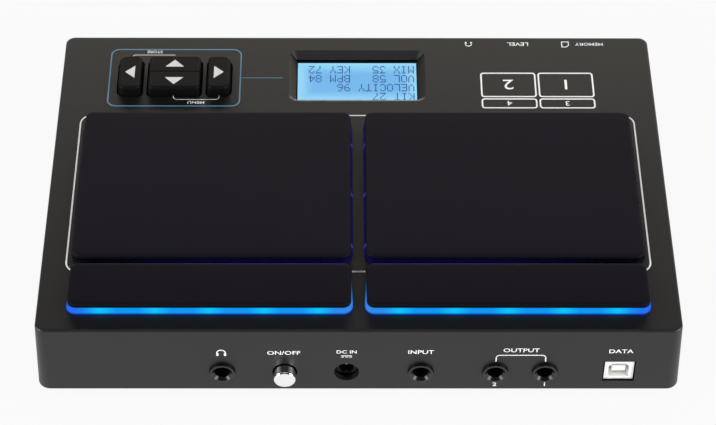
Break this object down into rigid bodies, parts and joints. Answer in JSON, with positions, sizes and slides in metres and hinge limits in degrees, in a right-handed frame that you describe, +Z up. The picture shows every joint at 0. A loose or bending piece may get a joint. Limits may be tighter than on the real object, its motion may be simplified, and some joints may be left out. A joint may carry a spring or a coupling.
{
  "type": "sampling percussion pad",
  "caption": "Table-top electronic percussion instrument with sprung rubber pads, lit skirts, a display, cursor keys, volume dials and rear sockets.",
  "frame": {"origin": "on the table, under the middle of the whole object with its dials and power button", "axes": "+Z up, +Y towards the rear sockets, +X to the player's right"},
  "size_m": [0.2656, 0.191, 0.0443],
  "materials": {
    "case": "satin",
    "base": "matt",
    "foot_rubber": "matt",
    "screw_steel": "zinc plated",
    "brass": "turned",
    "pad_rubber": "matt, finely grained",
    "pad_steel": "matt",
    "foam": "open foam",
    "guide_lit": "lit from below",
    "guide_smoked": "smoked",
    "circuit_board": "lacquered",
    "lamp": "lit",
    "window": "clear",
    "display": "lit",
    "sheet_metal": "bright",
    "key": "satin",
    "switch_white": "moulded",
    "black_plastic": "moulded",
    "pin_metal": "bright",
    "button": "silvered",
    "pot": "plain",
    "shaft_metal": "turned",
    "dial": "satin, grooved",
    "ribbon": "plain"
  },
  "bodies": {
    "case": {"top_shell": "case", "bottom_plate": "base", "rubber_feet": "foot_rubber", "screws": "screw_steel", "stand_inserts": "brass", "pad_foam_front_left": "foam", "pad_foam_front_right": "foam", "pad_foam_rear_left": "foam", "pad_foam_rear_right": "foam", "light_guide_rear_left": "guide_lit", "light_guide_rear_right": "guide_lit", "light_guide_front_left": "guide_smoked", "light_guide_front_right": "guide_smoked", "led_boards": "circuit_board", "control_board": "circuit_board", "main_board": "circuit_board", "leds": "lamp", "display_lens": "window", "lcd_panel": "display", "lcd_frame": "sheet_metal", "usb_shell": "sheet_metal", "sd_socket": "sheet_metal", "usb_core": "switch_white", "key_switches": "black_plastic", "board_parts": "black_plastic", "jack_phones": "black_plastic", "jack_trigger": "black_plastic", "jack_out_right": "black_plastic", "jack_out_left": "black_plastic", "dc_inlet": "black_plastic", "power_switch": "black_plastic", "dc_pin": "pin_metal", "volume_pots": "pot", "ribbon_cable": "ribbon"},
    "pad_front_left": {"pad_cover_front_left": "pad_rubber", "pad_plate_front_left": "pad_steel", "pad_sensor_front_left": "brass"},
    "pad_front_right": {"pad_cover_front_right": "pad_rubber", "pad_plate_front_right": "pad_steel", "pad_sensor_front_right": "brass"},
    "pad_rear_left": {"pad_cover_rear_left": "pad_rubber", "pad_plate_rear_left": "pad_steel", "pad_sensor_rear_left": "brass"},
    "pad_rear_right": {"pad_cover_rear_right": "pad_rubber", "pad_plate_rear_right": "pad_steel", "pad_sensor_rear_right": "brass"},
    "cursor_left": {"key_left": "key", "key_plunger_left": "switch_white"},
    "cursor_right": {"key_right": "key", "key_plunger_right": "switch_white"},
    "cursor_up": {"key_up": "key", "key_plunger_up": "switch_white"},
    "cursor_down": {"key_down": "key", "key_plunger_down": "switch_white"},
    "power": {"power_button": "button", "power_plunger": "switch_white"},
    "phones_volume": {"phones_dial": "dial", "phones_shaft": "shaft_metal"},
    "main_volume": {"main_dial": "dial", "main_shaft": "shaft_metal"}
  },
  "joints": [
    {"name": "pad_front_left_press", "type": "slide", "parent": "case", "child": "pad_front_left", "axis": [0, 0, 1], "range_m": [-0.0004, 0], "stiffness_N_per_m": 5000, "springref_m": 0.001, "deforming": ["pad_foam_front_left"]},
    {"name": "pad_front_right_press", "type": "slide", "parent": "case", "child": "pad_front_right", "axis": [0, 0, 1], "range_m": [-0.0004, 0], "stiffness_N_per_m": 5000, "springref_m": 0.001, "deforming": ["pad_foam_front_right"]},
    {"name": "pad_rear_left_press", "type": "slide", "parent": "case", "child": "pad_rear_left", "axis": [0, 0, 1], "range_m": [-0.0004, 0], "stiffness_N_per_m": 5000, "springref_m": 0.001, "deforming": ["pad_foam_rear_left"]},
    {"name": "pad_rear_right_press", "type": "slide", "parent": "case", "child": "pad_rear_right", "axis": [0, 0, 1], "range_m": [-0.0004, 0], "stiffness_N_per_m": 5000, "springref_m": 0.001, "deforming": ["pad_foam_rear_right"]},
    {"name": "cursor_left_press", "type": "slide", "parent": "case", "child": "cursor_left", "axis": [0, 0, 1], "range_m": [-0.0005, 0], "stiffness_N_per_m": 1000, "springref_m": 0.001},
    {"name": "cursor_right_press", "type": "slide", "parent": "case", "child": "cursor_right", "axis": [0, 0, 1], "range_m": [-0.0005, 0], "stiffness_N_per_m": 1000, "springref_m": 0.001},
    {"name": "cursor_up_press", "type": "slide", "parent": "case", "child": "cursor_up", "axis": [0, 0, 1], "range_m": [-0.0005, 0], "stiffness_N_per_m": 1000, "springref_m": 0.001},
    {"name": "cursor_down_press", "type": "slide", "parent": "case", "child": "cursor_down", "axis": [0, 0, 1], "range_m": [-0.0005, 0], "stiffness_N_per_m": 1000, "springref_m": 0.001},
    {"name": "power_press", "type": "slide", "parent": "case", "child": "power", "axis": [0, -1, 0], "range_m": [0, 0.003], "stiffness_N_per_m": 400, "springref_m": -0.002},
    {"name": "phones_volume_turn", "type": "hinge", "parent": "case", "child": "phones_volume", "pos_m": [-0.0504, -0.08555, 0.0221], "axis": [0, 1, 0], "range_deg": [-150, 150]},
    {"name": "main_volume_turn", "type": "hinge", "parent": "case", "child": "main_volume", "pos_m": [-0.073, -0.08555, 0.0221], "axis": [0, 1, 0], "range_deg": [-150, 150]}
  ]
}
